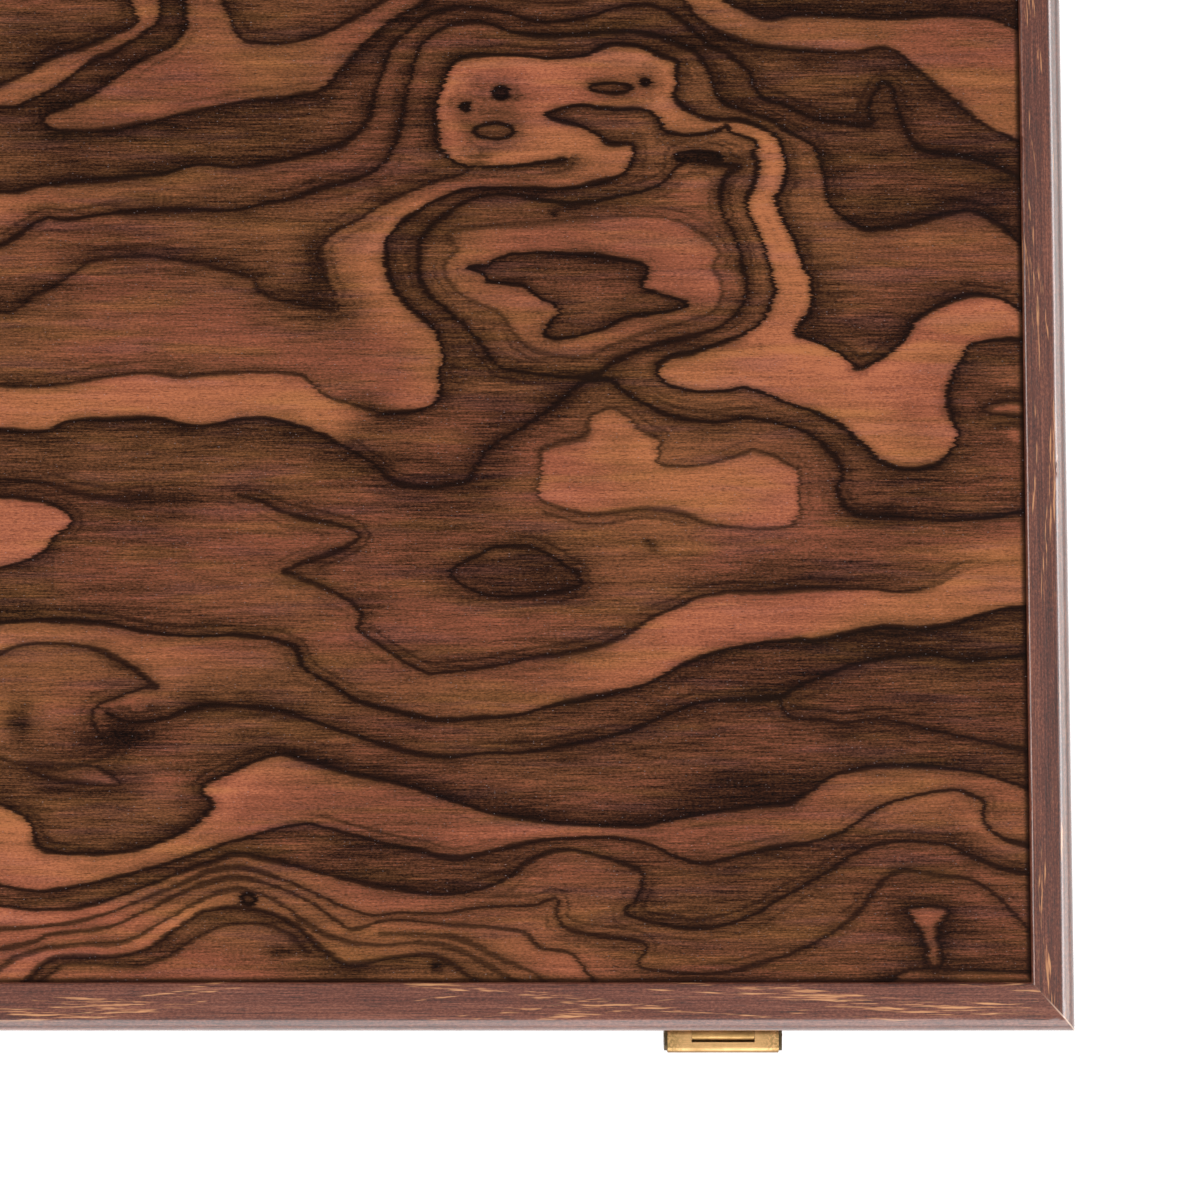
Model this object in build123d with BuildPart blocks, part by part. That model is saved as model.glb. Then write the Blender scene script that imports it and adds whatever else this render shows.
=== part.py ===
from build123d import *
import os
from math import atan2, degrees

# A wooden case for a mahjong set: a shallow lid hinged to a deeper base, both
# framed in mitred rails around veneered panels, shut by two brass clasps.
# Millimetres. The case stands on its underside with its front towards -Y and
# its length along X, and the origin is in the middle of the underside.

# Case and rails
case_length = 480.0
case_depth = 270.0
base_height = 30.0
lid_height = 19.7
parting_gap = 0.3
front_rail_width = 11.7
side_rail_width = 10.6
outer_round = 4.0
inner_round = 1.1
shut_chamfer = 0.5

# Panels, held in a groove that runs around the rails
panel_recess = 1.4
veneer_thickness = 0.6
ply_thickness = 4.0
groove_depth = 4.0
groove_clearance = 0.1
lining_thickness = 1.2
lining_clearance = 0.3

# Loose tongues across the mitres
spline_thickness = 2.0
spline_width = 7.0
spline_margin = 2.0
spline_clearance = 0.05

# Fitted interior
row_count = 6
row_width = 22.8
divider_thickness = 3.0
divider_height = 16.0
divider_clearance = 0.1
short_divider_offset = 110.0

# Butt hinges along the back, placed from the case's ends
hinge_end_distance = 90.0
leaf_length = 50.0
leaf_thickness = 1.5
leaf_reach = 8.5
leaf_clearance = 0.1
barrel_radius = 2.4
barrel_standoff = 1.2
barrel_clearance = 0.3
knuckle_count = 5
knuckle_gap = 0.2
hinge_pin_radius = 1.1
pin_clearance = 0.05
screw_pitch = 17.0
screw_inset = 3.6
screw_radius = 1.0
screw_head_radius = 2.0
screw_length = 10.0
screw_slot_width = 0.5
screw_slot_depth = 0.5
screw_clearance = 0.05

# Clasps along the front, placed from the case's ends
clasp_end_distance = 84.0
clasp_sheet = 0.8
clasp_reach = 5.6
clasp_pin_rise = 10.0
clasp_pin_radius = 0.6
clasp_knuckle_radius = 1.25
clasp_play = 0.1
clasp_tongue_width = 15.0
clasp_window_reach = 3.0
flap_width = 26.8
flap_bend = 1.2
flap_drop = 9.5
flap_lip_out = 0.4
flap_lip_drop = 0.9
ear_reach = 5.1
ear_sheet = 0.7
ear_round = 1.6
lid_plate_rise = 1.2
keeper_rise = -0.7
keeper_drop = 11.0
hook_width = 18.0
hook_rise = -1.7
hook_reach = 2.6
rib_gap = 0.3
rib_clearance = 0.5
nail_spacing = 15.0
nail_radius = 0.5
nail_length = 6.0
nail_head_radius = 1.5
nail_head_height = 0.8
nail_clearance = 0.05
lid_nail_rise = 4.8
keeper_nail_rise = -7.4

# Heights and inner sizes that follow
lid_bottom = base_height + parting_gap
case_height = lid_bottom + lid_height
parting_height = base_height + parting_gap / 2
panel_thickness = veneer_thickness + ply_thickness
panel_inner_face = panel_recess + panel_thickness
lining_face = panel_inner_face + lining_thickness
inner_length = case_length - 2 * side_rail_width
inner_depth = case_depth - 2 * front_rail_width

os.makedirs("parts", exist_ok=True)


def save(piece, name):
    """Label a finished piece and write it to its own file."""
    piece.label = name
    export_step(piece, f"parts/{name}.step")


# Each half is measured inwards from its own broad outer face.
# name: (height of that face, direction inwards, height of the half)
halves = {
    "base": (0.0, 1, base_height),
    "lid": (case_height, -1, lid_height),
}


# Rails

# side: (direction inwards, distance of the outer face, rail width, half length,
# width of the rails that it meets)
rail_sides = {
    "front": (Vector(0, 1, 0), case_depth / 2, front_rail_width, case_length / 2, side_rail_width),
    "back": (Vector(0, -1, 0), case_depth / 2, front_rail_width, case_length / 2, side_rail_width),
    "left": (Vector(1, 0, 0), case_length / 2, side_rail_width, case_depth / 2, front_rail_width),
    "right": (Vector(-1, 0, 0), case_length / 2, side_rail_width, case_depth / 2, front_rail_width),
}


def rail_profile(width, height):
    """Draw a rail's section, x inwards from the outer side, y from the broad face.

    The rounds are as wide as the rail's share, so that they meet at the mitre.
    """
    share = width / front_rail_width
    outer_width = outer_round * share
    inner_width = inner_round * share
    with BuildLine() as outline:
        EllipticalCenterArc((outer_width, outer_round), outer_width, outer_round, 180, arc_size=90)
        Line((outer_width, 0), (width - inner_width, 0))
        EllipticalCenterArc(
            (width - inner_width, inner_round), inner_width, inner_round, 270, arc_size=90
        )
        Polyline(
            (width, inner_round),
            (width, height - shut_chamfer),
            (width - shut_chamfer, height),
            (shut_chamfer, height),
            (0, height - shut_chamfer),
            (0, outer_round),
        )
    make_face(outline.edges())
    with Locations((width, panel_recess - groove_clearance / 2)):
        Rectangle(
            2 * groove_depth,
            panel_thickness + groove_clearance,
            align=(Align.CENTER, Align.MIN),
            mode=Mode.SUBTRACT,
        )


def mitre_outline(width, half_length, end_width):
    """Draw a rail's plan, x along it and y inwards, with its ends mitred."""
    with BuildLine() as outline:
        Polyline(
            (-half_length, 0),
            (half_length, 0),
            (half_length - end_width, width),
            (end_width - half_length, width),
            close=True,
        )
    make_face(outline.edges())


def corner_tongues(clearance):
    """Draw the four tongues in plan, each square across its mitre."""
    mitre_angle = degrees(atan2(front_rail_width, side_rail_width))
    for side_x in (-1, 1):
        for side_y in (-1, 1):
            centre_x = side_x * (case_length - side_rail_width) / 2
            centre_y = side_y * (case_depth - front_rail_width) / 2
            with Locations(Location((centre_x, centre_y), side_x * side_y * mitre_angle)):
                Rectangle(spline_thickness + 2 * clearance, spline_width + 2 * clearance)


def tongue_span(half, clearance):
    """Give the lowest height and the length of a half's tongues."""
    face, inwards, height = halves[half]
    near = face + inwards * (panel_inner_face + spline_margin - clearance)
    far = face + inwards * (height - spline_margin + clearance)
    return min(near, far), abs(far - near)


# Hinge geometry that the back rails share
hinge_offset = case_length / 2 - hinge_end_distance
hinge_places = {"left": -hinge_offset, "right": hinge_offset}
axis_y = case_depth / 2 + barrel_standoff
axis_z = parting_height
knuckle_pitch = leaf_length / knuckle_count
leaf_inner_y = case_depth / 2 - leaf_reach
tab_y = axis_y - barrel_radius - barrel_clearance
# half: (face that the leaf lies flush with, direction into the rail, its knuckles)
leaf_halves = {
    "base": (base_height, -1, range(0, knuckle_count, 2)),
    "lid": (lid_bottom, 1, range(1, knuckle_count, 2)),
}


def hinge_screw_places(half):
    """Give the screws' places on the leaf's face, pointing out of the rail."""
    face, into, _ = leaf_halves[half]
    turn = 0 if into < 0 else 180
    return [
        Location((place + step * screw_pitch, leaf_inner_y + screw_inset, face), (turn, 0, 0))
        for place in hinge_places.values()
        for step in (-1, 0, 1)
    ]


# Clasp geometry that the front rails share
clasp_offset = case_length / 2 - clasp_end_distance
clasp_places = {"left": -clasp_offset, "right": clasp_offset}
clasp_pin_out = clasp_knuckle_radius + clasp_play


def clasp_plane(across):
    """Give a clasp section's plane, x out from the front and y up from the parting."""
    return Plane(
        origin=(across, -case_depth / 2, parting_height), x_dir=(0, -1, 0), z_dir=(-1, 0, 0)
    )


def nail_places(rise, standoff):
    """Give the places of both clasps' nails at one height, pointing out of the front."""
    return [
        Location((place + side * nail_spacing / 2, -case_depth / 2 - standoff, parting_height + rise),
                 (90, 0, 0))
        for place in clasp_places.values()
        for side in (-1, 1)
    ]


for half, (face, inwards, height) in halves.items():
    tongue_low, tongue_length = tongue_span(half, spline_clearance)
    for side, (direction, reach, width, half_length, end_width) in rail_sides.items():
        outer_middle = direction * -reach
        with BuildPart() as rail:
            section_plane = Plane(
                origin=outer_middle + Vector(0, 0, face),
                x_dir=direction,
                z_dir=direction.cross(Vector(0, 0, inwards)),
            )
            with BuildSketch(section_plane):
                rail_profile(width, height)
            extrude(amount=half_length, both=True)

            plan_plane = Plane(
                origin=outer_middle, x_dir=direction.cross(Vector(0, 0, 1)), z_dir=(0, 0, 1)
            )
            with BuildSketch(plan_plane):
                mitre_outline(width, half_length, end_width)
            extrude(amount=case_height, mode=Mode.INTERSECT)

            with BuildSketch(Plane.XY.offset(tongue_low)):
                corner_tongues(spline_clearance)
            extrude(amount=tongue_length, mode=Mode.SUBTRACT)

            if side == "back":
                leaf_face, into, _ = leaf_halves[half]
                for place in hinge_places.values():
                    # Mortise for the leaf, open at the back
                    with BuildSketch(Plane.XY.offset(leaf_face)):
                        with Locations((place, leaf_inner_y - leaf_clearance)):
                            Rectangle(
                                leaf_length + 2 * leaf_clearance,
                                leaf_reach + 2 * leaf_clearance,
                                align=(Align.CENTER, Align.MIN),
                            )
                    extrude(amount=into * leaf_thickness, mode=Mode.SUBTRACT)

                    # Hollow for the barrel
                    with BuildSketch(Plane.YZ.offset(place)):
                        with Locations((axis_y, axis_z)):
                            Circle(barrel_radius + barrel_clearance)
                    extrude(
                        amount=leaf_length / 2 + barrel_clearance, both=True, mode=Mode.SUBTRACT
                    )
                with Locations(hinge_screw_places(half)):
                    Cylinder(
                        screw_radius + screw_clearance,
                        2 * (screw_length + screw_clearance),
                        mode=Mode.SUBTRACT,
                    )

            if side == "front":
                nail_rise = lid_nail_rise if half == "lid" else keeper_nail_rise
                with Locations(nail_places(nail_rise, 0)):
                    Cylinder(
                        nail_radius + nail_clearance,
                        2 * (nail_length + nail_clearance),
                        mode=Mode.SUBTRACT,
                    )
        save(rail.part, f"{half}_{side}_rail")


# Tongues inside the mitres
for half in halves:
    low, length = tongue_span(half, 0)
    with BuildPart() as tongues:
        with BuildSketch(Plane.XY.offset(low)):
            corner_tongues(0)
        extrude(amount=length)
    save(tongues.part, f"{half}_corner_splines")


# Panels: a plywood board with veneer outside and a suede sheet inside
panel_length = inner_length + 2 * (groove_depth - groove_clearance)
panel_width = inner_depth + 2 * (groove_depth - groove_clearance)

for half, (face, inwards, height) in halves.items():
    veneer_face = face + inwards * panel_recess
    with BuildPart() as veneer:
        with BuildSketch(Plane.XY.offset(veneer_face)):
            Rectangle(panel_length, panel_width)
        extrude(amount=inwards * veneer_thickness)
    save(veneer.part, f"{half}_veneer")

    with BuildPart() as panel:
        with BuildSketch(Plane.XY.offset(veneer_face + inwards * veneer_thickness)):
            Rectangle(panel_length, panel_width)
        extrude(amount=inwards * ply_thickness)
    save(panel.part, f"{half}_panel")

    with BuildPart() as lining:
        with BuildSketch(Plane.XY.offset(face + inwards * panel_inner_face)):
            Rectangle(inner_length - 2 * lining_clearance, inner_depth - 2 * lining_clearance)
        extrude(amount=inwards * lining_thickness)
    save(lining.part, f"{half}_lining")


# Fitted interior: rows for the tiles behind a shallow tray zone for sticks and dice
row_pitch = row_width + divider_thickness
inner_back = inner_depth / 2
divider_low = lining_face
divider_middle = divider_low + divider_height / 2
row_dividers = [inner_back - (index + 1) * row_pitch + divider_thickness / 2
                for index in range(row_count)]
front_divider = min(row_dividers)
slot_width = divider_thickness + 2 * divider_clearance

for index, place in enumerate(reversed(row_dividers), start=1):
    with BuildPart() as row_divider:
        with BuildSketch(Plane.XY.offset(divider_low)):
            with Locations((0, place)):
                Rectangle(inner_length - 2 * divider_clearance, divider_thickness)
        extrude(amount=divider_height)
        # Half-lap slot from the top, over the centre divider
        with BuildSketch(Plane.XY.offset(divider_middle - divider_clearance / 2)):
            with Locations((0, place)):
                Rectangle(slot_width, 2 * divider_thickness)
        extrude(amount=divider_height, mode=Mode.SUBTRACT)
    save(row_divider.part, f"row_divider_{index}")

with BuildPart() as centre_divider:
    with BuildSketch(Plane.XY.offset(divider_low)):
        Rectangle(divider_thickness, inner_depth - 2 * divider_clearance)
    extrude(amount=divider_height)
    # Half-lap slots from below, over the row dividers
    with BuildSketch(Plane.XY.offset(divider_middle + divider_clearance / 2)):
        with Locations([(0, place) for place in row_dividers]):
            Rectangle(2 * divider_thickness, slot_width)
    extrude(amount=-divider_height, mode=Mode.SUBTRACT)
save(centre_divider.part, "centre_divider")

short_low = divider_clearance - inner_depth / 2
short_high = front_divider - divider_thickness / 2 - divider_clearance
for side, place in (("left", -short_divider_offset), ("right", short_divider_offset)):
    with BuildPart() as short_divider:
        with BuildSketch(Plane.XY.offset(divider_low)):
            with Locations((place, short_low)):
                Rectangle(
                    divider_thickness, short_high - short_low, align=(Align.CENTER, Align.MIN)
                )
        extrude(amount=divider_height)
    save(short_divider.part, f"{side}_short_divider")


# Hinges: two leaves rolled around a pin, let into the rails' meeting faces
for side, place in hinge_places.items():
    first_x = place - leaf_length / 2
    for half, (leaf_face, into, knuckles) in leaf_halves.items():
        knuckle_starts = [first_x + index * knuckle_pitch + knuckle_gap / 2 for index in knuckles]
        knuckle_length = knuckle_pitch - knuckle_gap
        with BuildPart() as leaf:
            with BuildSketch(Plane.XY.offset(leaf_face)):
                with Locations((place, leaf_inner_y)):
                    Rectangle(leaf_length, tab_y - leaf_inner_y, align=(Align.CENTER, Align.MIN))
                for start in knuckle_starts:
                    with Locations((start, tab_y)):
                        Rectangle(knuckle_length, axis_y - tab_y, align=(Align.MIN, Align.MIN))
            extrude(amount=into * leaf_thickness)
            for start in knuckle_starts:
                with BuildSketch(Plane.YZ.offset(start)):
                    with Locations((axis_y, axis_z)):
                        Circle(barrel_radius)
                extrude(amount=knuckle_length)
            with BuildSketch(Plane.YZ.offset(place)):
                with Locations((axis_y, axis_z)):
                    Circle(hinge_pin_radius + pin_clearance)
            extrude(amount=leaf_length, both=True, mode=Mode.SUBTRACT)
            with Locations(hinge_screw_places(half)):
                CounterSinkHole(
                    screw_radius + screw_clearance,
                    screw_head_radius + screw_clearance,
                    depth=2 * leaf_thickness,
                    counter_sink_angle=90,
                )
        save(leaf.part, f"hinge_{side}_{half}_leaf")

    with BuildPart() as hinge_pin:
        with BuildSketch(Plane.YZ.offset(place)):
            with Locations((axis_y, axis_z)):
                Circle(hinge_pin_radius)
        extrude(amount=(leaf_length - knuckle_gap) / 2, both=True)
        chamfer(hinge_pin.edges().filter_by(GeomType.CIRCLE), length=hinge_pin_radius / 4)
    save(hinge_pin.part, f"hinge_{side}_pin")

# Countersunk screw with its head's face at the origin
with BuildPart() as screw:
    with BuildSketch(Plane.XZ):
        with BuildLine():
            Polyline(
                (0, 0),
                (screw_head_radius, 0),
                (screw_radius, screw_radius - screw_head_radius),
                (screw_radius, screw_radius - screw_length),
                (0, -screw_length),
                close=True,
            )
        make_face()
    revolve(axis=Axis.Z)
    with BuildSketch(Plane.XY):
        Rectangle(3 * screw_head_radius, screw_slot_width)
    extrude(amount=-screw_slot_depth, mode=Mode.SUBTRACT)

for half in leaf_halves:
    with BuildPart() as hinge_screws:
        with Locations(hinge_screw_places(half)):
            add(screw.part)
    save(hinge_screws.part, f"hinge_{half}_screws")


# Clasps: a lid plate with two ears carries the pin, and the flap hooks the keeper
ear_inner = flap_width / 2 + clasp_play
plate_half = ear_inner + ear_sheet
flap_wall_inner = flap_width / 2 - clasp_sheet
keeper_half = flap_wall_inner - 2 * clasp_play
tongue_half = clasp_tongue_width / 2
window_half = tongue_half + clasp_play
knuckle_top = clasp_pin_rise + clasp_knuckle_radius
plate_shoulder = clasp_pin_rise - clasp_knuckle_radius - 2 * clasp_play
sheet_middle = clasp_sheet / 2
flap_face = clasp_reach - clasp_sheet
rib_top = hook_rise - clasp_sheet - rib_gap

for side, place in clasp_places.items():
    with BuildPart() as lid_plate:
        # Sheet against the front, and its tongue rolled round the pin
        with BuildSketch(clasp_plane(place)):
            with Locations((0, lid_plate_rise)):
                Rectangle(
                    clasp_sheet, plate_shoulder - lid_plate_rise, align=(Align.MIN, Align.MIN)
                )
        extrude(amount=plate_half, both=True)
        with BuildSketch(clasp_plane(place)):
            with Locations((clasp_play, lid_plate_rise)):
                Rectangle(
                    clasp_sheet - clasp_play,
                    clasp_pin_rise - lid_plate_rise,
                    align=(Align.MIN, Align.MIN),
                )
            with Locations((clasp_pin_out, clasp_pin_rise)):
                Circle(clasp_knuckle_radius)
        extrude(amount=tongue_half, both=True)
        # Ears at the two ends
        for end in (-1, 1):
            with BuildSketch(clasp_plane(place + end * (ear_inner + ear_sheet / 2))):
                with BuildLine():
                    FilletPolyline(
                        (0, lid_plate_rise),
                        (ear_reach, lid_plate_rise),
                        (ear_reach, knuckle_top),
                        (clasp_play, knuckle_top),
                        (clasp_play, plate_shoulder),
                        (0, plate_shoulder),
                        radius=[0, 2 * ear_round, ear_round, 0, 0, 0],
                        close=True,
                    )
                make_face()
            extrude(amount=ear_sheet / 2, both=True)
        with BuildSketch(clasp_plane(place)):
            with Locations((clasp_pin_out, clasp_pin_rise)):
                Circle(clasp_pin_radius + pin_clearance)
        extrude(amount=2 * plate_half, both=True, mode=Mode.SUBTRACT)
        with Locations(nail_places(lid_nail_rise, 0)):
            Cylinder(nail_radius + nail_clearance, 4 * clasp_sheet, mode=Mode.SUBTRACT)
    save(lid_plate.part, f"clasp_{side}_lid_plate")

    with BuildPart() as pin:
        with BuildSketch(clasp_plane(place)):
            with Locations((clasp_pin_out, clasp_pin_rise)):
                Circle(clasp_pin_radius)
        extrude(amount=plate_half + clasp_play, both=True)
        chamfer(pin.edges().filter_by(GeomType.CIRCLE), length=clasp_pin_radius / 4)
    save(pin.part, f"clasp_{side}_pin")

    with BuildPart() as flap:
        # One sheet bent over the front and flared at its finger edge
        with BuildSketch(clasp_plane(place)):
            with BuildLine():
                FilletPolyline(
                    (clasp_pin_out, knuckle_top - sheet_middle),
                    (clasp_reach - sheet_middle, knuckle_top - sheet_middle),
                    (clasp_reach - sheet_middle, -flap_drop),
                    (clasp_reach - sheet_middle + flap_lip_out, -flap_drop - flap_lip_drop),
                    radius=[flap_bend, flap_lip_drop],
                )
            trace(line_width=clasp_sheet)
        extrude(amount=flap_width / 2, both=True)
        with BuildSketch(clasp_plane(place)):
            with Locations((0, clasp_pin_rise)):
                Rectangle(
                    clasp_window_reach, 2 * clasp_knuckle_radius, align=(Align.MIN, Align.CENTER)
                )
        extrude(amount=window_half, both=True, mode=Mode.SUBTRACT)
        for end in (-1, 1):
            # Knuckle around the pin, and the wall that closes the flap's end
            with BuildSketch(clasp_plane(place + end * (window_half + flap_width / 2) / 2)):
                with Locations((clasp_pin_out, clasp_pin_rise)):
                    Circle(clasp_knuckle_radius)
            extrude(amount=(flap_width / 2 - window_half) / 2, both=True)
            with BuildSketch(clasp_plane(place + end * (flap_width - clasp_sheet) / 2)):
                with BuildLine():
                    FilletPolyline(
                        (clasp_sheet + 2 * clasp_play, -flap_drop),
                        (clasp_reach - sheet_middle, -flap_drop),
                        (clasp_reach - sheet_middle, knuckle_top - sheet_middle),
                        (clasp_pin_out, knuckle_top - sheet_middle),
                        (clasp_pin_out, clasp_pin_rise),
                        (clasp_sheet + 2 * clasp_play, clasp_pin_rise),
                        radius=[flap_bend, 0, flap_bend, 0, 0, 0],
                        close=True,
                    )
                make_face()
            extrude(amount=clasp_sheet / 2, both=True)
        # Rib that hooks under the keeper's lip
        with BuildSketch(clasp_plane(place)):
            with Locations((clasp_sheet + rib_clearance, rib_top)):
                Rectangle(
                    flap_face + sheet_middle - clasp_sheet - rib_clearance,
                    clasp_sheet,
                    align=(Align.MIN, Align.MAX),
                )
        extrude(amount=hook_width / 2, both=True)
        with BuildSketch(clasp_plane(place)):
            with Locations((clasp_pin_out, clasp_pin_rise)):
                Circle(clasp_pin_radius + pin_clearance)
        extrude(amount=flap_width, both=True, mode=Mode.SUBTRACT)
    save(flap.part, f"clasp_{side}_flap")

    with BuildPart() as keeper:
        with BuildSketch(clasp_plane(place)):
            with Locations((0, keeper_rise)):
                Rectangle(clasp_sheet, keeper_drop + keeper_rise, align=(Align.MIN, Align.MAX))
        extrude(amount=keeper_half, both=True)
        with BuildSketch(clasp_plane(place)):
            with Locations((0, hook_rise)):
                Rectangle(hook_reach, clasp_sheet, align=(Align.MIN, Align.MAX))
        extrude(amount=hook_width / 2, both=True)
        with Locations(nail_places(keeper_nail_rise, 0)):
            Cylinder(nail_radius + nail_clearance, 4 * clasp_sheet, mode=Mode.SUBTRACT)
    save(keeper.part, f"clasp_{side}_keeper")

# Domed nail with the underside of its head at the origin
head_sphere = (nail_head_radius ** 2 + nail_head_height ** 2) / (2 * nail_head_height)
with BuildPart() as nail:
    with BuildSketch(Plane.XZ):
        with BuildLine():
            Polyline(
                (0, nail_head_height),
                (0, -nail_length),
                (nail_radius, 2 * nail_radius - nail_length),
                (nail_radius, 0),
                (nail_head_radius, 0),
            )
            RadiusArc((nail_head_radius, 0), (0, nail_head_height), -head_sphere)
        make_face()
    revolve(axis=Axis.Z)

for half, rise in (("lid", lid_nail_rise), ("base", keeper_nail_rise)):
    with BuildPart() as nails:
        with Locations(nail_places(rise, clasp_sheet)):
            add(nail.part)
    save(nails.part, f"clasp_{half}_nails")
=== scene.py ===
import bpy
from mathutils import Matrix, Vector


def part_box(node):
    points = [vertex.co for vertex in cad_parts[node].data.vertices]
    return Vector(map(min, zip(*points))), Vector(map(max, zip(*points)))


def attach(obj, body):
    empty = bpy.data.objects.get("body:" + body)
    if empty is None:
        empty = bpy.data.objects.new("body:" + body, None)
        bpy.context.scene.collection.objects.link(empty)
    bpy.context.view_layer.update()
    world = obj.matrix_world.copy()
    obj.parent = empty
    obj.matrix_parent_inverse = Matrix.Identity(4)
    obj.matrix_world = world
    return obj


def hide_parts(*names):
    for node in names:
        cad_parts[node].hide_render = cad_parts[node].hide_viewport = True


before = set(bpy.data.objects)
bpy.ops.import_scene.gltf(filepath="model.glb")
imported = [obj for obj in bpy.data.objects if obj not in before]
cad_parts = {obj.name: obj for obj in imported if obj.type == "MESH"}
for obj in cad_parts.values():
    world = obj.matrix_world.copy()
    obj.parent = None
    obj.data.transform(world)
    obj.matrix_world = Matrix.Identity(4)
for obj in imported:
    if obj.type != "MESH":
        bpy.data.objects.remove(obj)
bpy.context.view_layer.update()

import math

import bpy
import numpy as np
from mathutils import Vector
from mathutils.geometry import delaunay_2d_cdt

# Sizes of the case in the row frame, in metres
case_length = 0.480
case_depth = 0.270
case_height = 0.050
front_rail_width = 0.0117
side_rail_width = 0.0106
veneer_thickness = 0.0006
lid_veneer_height = 0.0486
veneer_half_length, veneer_half_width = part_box("lid_veneer")[1][:2]
clasp_offset = 0.156
flap_half_width = 0.0134
window_half_width = 0.0076
clasp_front = -0.1406
tiny = 1e-6

scene = bpy.context.scene

# Camera: almost straight above the front right-hand part of the lid
camera_place = (0.126309, -0.09117, 0.723164)
camera_elevation = 84.954
focal_pixels = 2800.0
picture_size = 1200.0
sensor_width = 36.0

camera_data = bpy.data.cameras.new("camera")
camera_data.sensor_width = sensor_width
camera_data.lens = sensor_width * focal_pixels / picture_size
camera_data.clip_start = 0.01
camera_data.clip_end = 50
camera = bpy.data.objects.new("camera", camera_data)
camera.location = camera_place
camera.rotation_euler = (math.radians(90 - camera_elevation), 0, 0)
scene.collection.objects.link(camera)
scene.camera = camera
scene.view_settings.view_transform = "Standard"


class Nodes:
    """Shorthand for building one node tree."""

    def __init__(self, tree):
        self.tree = tree
        tree.nodes.clear()

    def add(self, kind, settings=None, **sockets):
        """Add a node, with sockets set by name or, as s0, s1, by place."""
        node = self.tree.nodes.new(kind)
        for name, value in (settings or {}).items():
            setattr(node, name, value)
        for name, value in sockets.items():
            by_place = name[0] == "s" and name[1:].isdigit()
            key = int(name[1:]) if by_place else name.replace("_", " ")
            self.feed(node.inputs[key], value)
        return node

    def feed(self, socket, value):
        """Link an output to a socket, or set the socket's value."""
        if isinstance(value, bpy.types.NodeSocket):
            self.tree.links.new(value, socket)
        elif isinstance(value, bpy.types.Node):
            self.tree.links.new(value.outputs[0], socket)
        elif socket.type == "RGBA" and len(value) == 3:
            socket.default_value = (*value, 1.0)
        else:
            socket.default_value = value

    def math(self, operation, a, b=0.0, clamp=False):
        """Add a maths node and give its output."""
        node = self.add("ShaderNodeMath", {"operation": operation, "use_clamp": clamp}, s0=a, s1=b)
        return node.outputs[0]

    def times(self, a, b, clamp=False):
        """Multiply two numbers."""
        return self.math("MULTIPLY", a, b, clamp)

    def plus(self, a, b, clamp=False):
        """Add two numbers."""
        return self.math("ADD", a, b, clamp)

    def minus(self, a, b):
        """Subtract the second number from the first."""
        return self.math("SUBTRACT", a, b)

    def size(self, value):
        """Give a number without its sign."""
        return self.math("ABSOLUTE", value)

    def ramp(self, value, start, end, low=0.0, high=1.0):
        """Map a value from start..end to low..high, smoothly and clamped."""
        node = self.add("ShaderNodeMapRange", {"interpolation_type": "SMOOTHSTEP"}, Value=value)
        for key, number in (("From Min", start), ("From Max", end), ("To Min", low), ("To Max", high)):
            self.feed(node.inputs[key], number)
        return node.outputs[0]

    def mix(self, factor, a, b):
        """Mix two colours."""
        node = self.add("ShaderNodeMix", {"data_type": "RGBA"})
        self.feed(node.inputs[0], factor)
        self.feed(node.inputs[6], a)
        self.feed(node.inputs[7], b)
        return node.outputs[2]

    def blend(self, factor, a, b):
        """Mix two numbers."""
        node = self.add("ShaderNodeMix", {"data_type": "FLOAT"})
        for index, value in ((0, factor), (2, a), (3, b)):
            self.feed(node.inputs[index], value)
        return node.outputs[0]

    def scaled(self, scale, turn=0.0):
        """Give the object coordinates, turned about Z by some degrees and then scaled."""
        place = self.add("ShaderNodeTexCoord").outputs["Object"]
        if turn:
            place = self.add("ShaderNodeMapping", Vector=place, Rotation=(0, 0, math.radians(turn)))
        return self.add("ShaderNodeMapping", Vector=place, Scale=scale).outputs[0]

    def place(self):
        """Give X, Y and Z of the object coordinates."""
        whole = self.add("ShaderNodeTexCoord").outputs["Object"]
        return self.add("ShaderNodeSeparateXYZ", Vector=whole).outputs

    def noise(self, scale, detail=2.0, rough=0.5, turn=0.0):
        """Give a noise value with its own scale along each axis, in cycles per metre."""
        node = self.add("ShaderNodeTexNoise", Vector=self.scaled(scale, turn), Scale=1.0,
                        Detail=detail, Roughness=rough)
        return node.outputs["Fac"]

    def value(self, name):
        """Read a mesh attribute."""
        return self.add("ShaderNodeAttribute", {"attribute_name": name}).outputs["Fac"]

    def colours(self, value, stops):
        """Turn a value into a colour through hex-coded stops."""
        node = self.add("ShaderNodeValToRGB", Fac=value)
        ramp = node.color_ramp
        ramp.elements[0].position = stops[0][0]
        ramp.elements[-1].position = stops[-1][0]
        for position, _ in stops[1:-1]:
            ramp.elements.new(position)
        for element, (_, code) in zip(ramp.elements, stops):
            element.color = (*hex_colour(code), 1.0)
        return node.outputs[0]

    def finish(self, **sockets):
        """Add the surface shader and the output."""
        shader = self.add("ShaderNodeBsdfPrincipled", **sockets)
        self.add("ShaderNodeOutputMaterial", Surface=shader.outputs[0])

    def bump(self, height, depth):
        """Turn a height value into a surface normal, its depth in metres."""
        node = self.add("ShaderNodeBump", Height=height, Distance=depth, Strength=1.0)
        return node.outputs[0]


def hex_colour(code):
    """Turn an sRGB hex code into linear red, green and blue."""
    parts = [int(code[index:index + 2], 16) / 255 for index in (0, 2, 4)]
    return tuple(c / 12.92 if c <= 0.04045 else ((c + 0.055) / 1.055) ** 2.4 for c in parts)


def new_material(name):
    """Make a material and give it with its empty node tree."""
    material = bpy.data.materials.new(name)
    material.use_nodes = True
    return material, Nodes(material.node_tree)


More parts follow.
